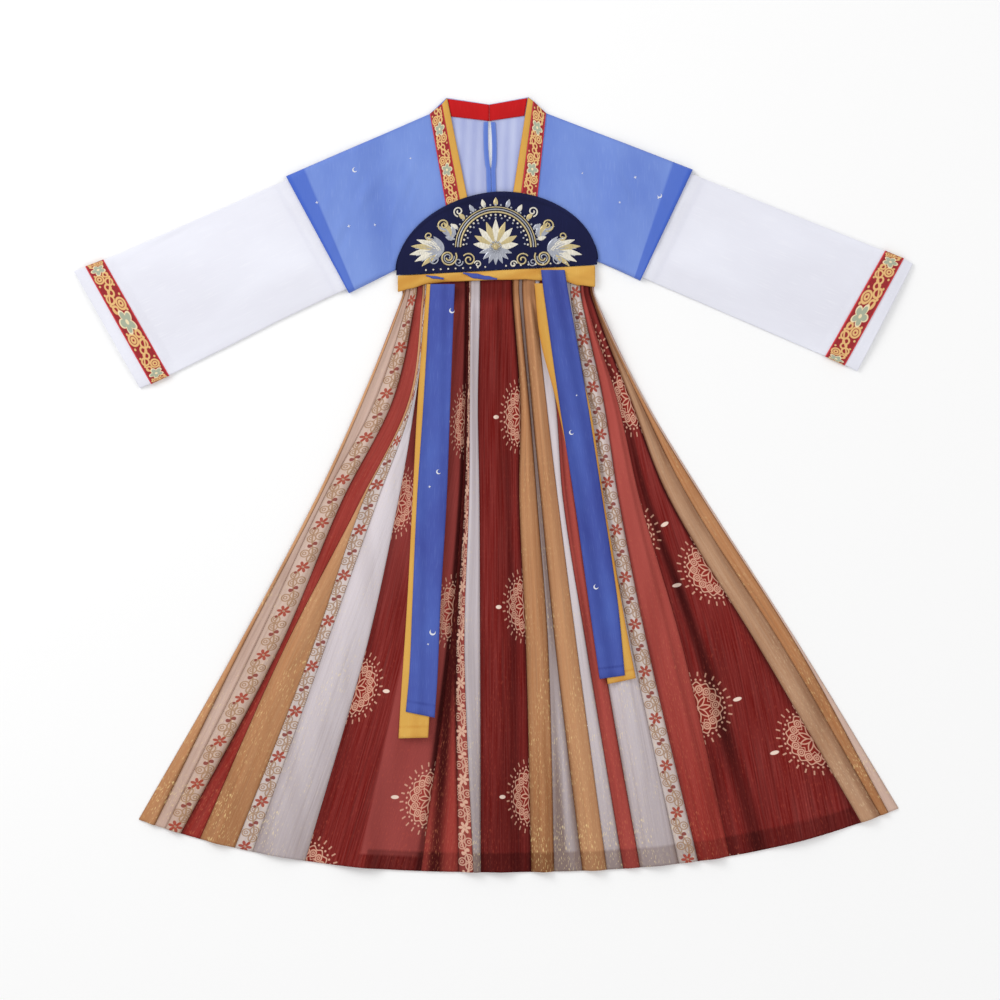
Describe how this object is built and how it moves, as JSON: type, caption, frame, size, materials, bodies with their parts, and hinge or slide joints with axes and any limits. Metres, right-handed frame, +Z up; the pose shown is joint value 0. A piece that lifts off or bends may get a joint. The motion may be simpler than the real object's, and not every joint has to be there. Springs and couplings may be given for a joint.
{
  "type": "hanfu dress laid flat",
  "caption": "Child's chest-high hanfu dress laid flat: gathered strip skirt, short over-sleeves with long sheer under-sleeves, jacquard collar, chest panel, sash and hanging ribbons.",
  "frame": {"origin": "centre of the garment's outline, on the surface it lies on", "axes": "+Z up from the surface, out of the garment's front; +Y towards the neck; +X towards the sleeve on the viewer's right"},
  "size_m": [1.132, 1.046, 0.0144],
  "materials": {
    "blue_chiffon": "plain-woven chiffon, light blue, soft sheen",
    "ribbon_blue": "matte woven ribbon cloth, mid blue",
    "lilac_back": "thin chiffon over a white lining, pale lilac",
    "white_organza": "sheer white organza, doubled",
    "yellow_cloth": "matte woven cloth, warm yellow",
    "red_band": "plain woven cotton band, bright red",
    "jacquard_ribbon": "red jacquard ribbon with a gold and grey-green vine",
    "navy_panel": "navy velvet-like panel with raised embroidery",
    "gold_organza": "crinkled gold organza with metallic threads",
    "white_crinkle": "crinkled off-white organza with metallic threads",
    "floral_border": "white organza printed with small red flowers and vines",
    "red_print": "dark red organza printed with pale half rosettes",
    "red_plain": "plain red organza"
  },
  "bodies": {
    "root": {"bodice_back_left": "lilac_back", "bodice_back_right": "lilac_back", "bodice_front_left": "blue_chiffon", "bodice_front_right": "blue_chiffon", "chest_panel": "navy_panel", "collar_edge_left": "yellow_cloth", "collar_edge_right": "yellow_cloth", "collar_jacquard_left": "jacquard_ribbon", "collar_jacquard_right": "jacquard_ribbon", "cuff_jacquard_left": "jacquard_ribbon", "cuff_jacquard_right": "jacquard_ribbon", "keyhole_binding_left": "blue_chiffon", "keyhole_binding_right": "blue_chiffon", "neckband_left": "red_band", "neckband_right": "red_band", "ribbon_blue_left": "ribbon_blue", "ribbon_blue_right": "ribbon_blue", "ribbon_yellow_left": "yellow_cloth", "ribbon_yellow_right": "yellow_cloth", "sash_back": "yellow_cloth", "sash_front": "yellow_cloth", "sash_twist_left": "ribbon_blue", "sash_twist_right": "ribbon_blue", "skirt_back": "red_print", "skirt_beige_right": "gold_organza", "skirt_floral_left": "floral_border", "skirt_floral_left_inner": "floral_border", "skirt_floral_right": "floral_border", "skirt_gold_centre": "gold_organza", "skirt_gold_centre_right": "gold_organza", "skirt_gold_left": "gold_organza", "skirt_gold_side_left": "gold_organza", "skirt_gold_side_right": "gold_organza", "skirt_medallion_centre": "red_print", "skirt_medallion_left": "red_print", "skirt_medallion_right": "red_print", "skirt_orange_right": "red_plain", "skirt_red_fold": "red_print", "skirt_red_left": "red_plain", "skirt_red_right": "red_plain", "skirt_scroll_print": "red_print", "skirt_white_centre": "white_crinkle", "skirt_white_fold": "white_crinkle", "skirt_white_left": "white_crinkle", "skirt_white_right": "white_crinkle", "skirt_white_right_outer": "white_crinkle", "skirt_white_side_left": "white_crinkle", "skirt_white_side_right": "white_crinkle", "sleeve_left": "white_organza", "sleeve_right": "white_organza"}
  },
  "joints": []
}
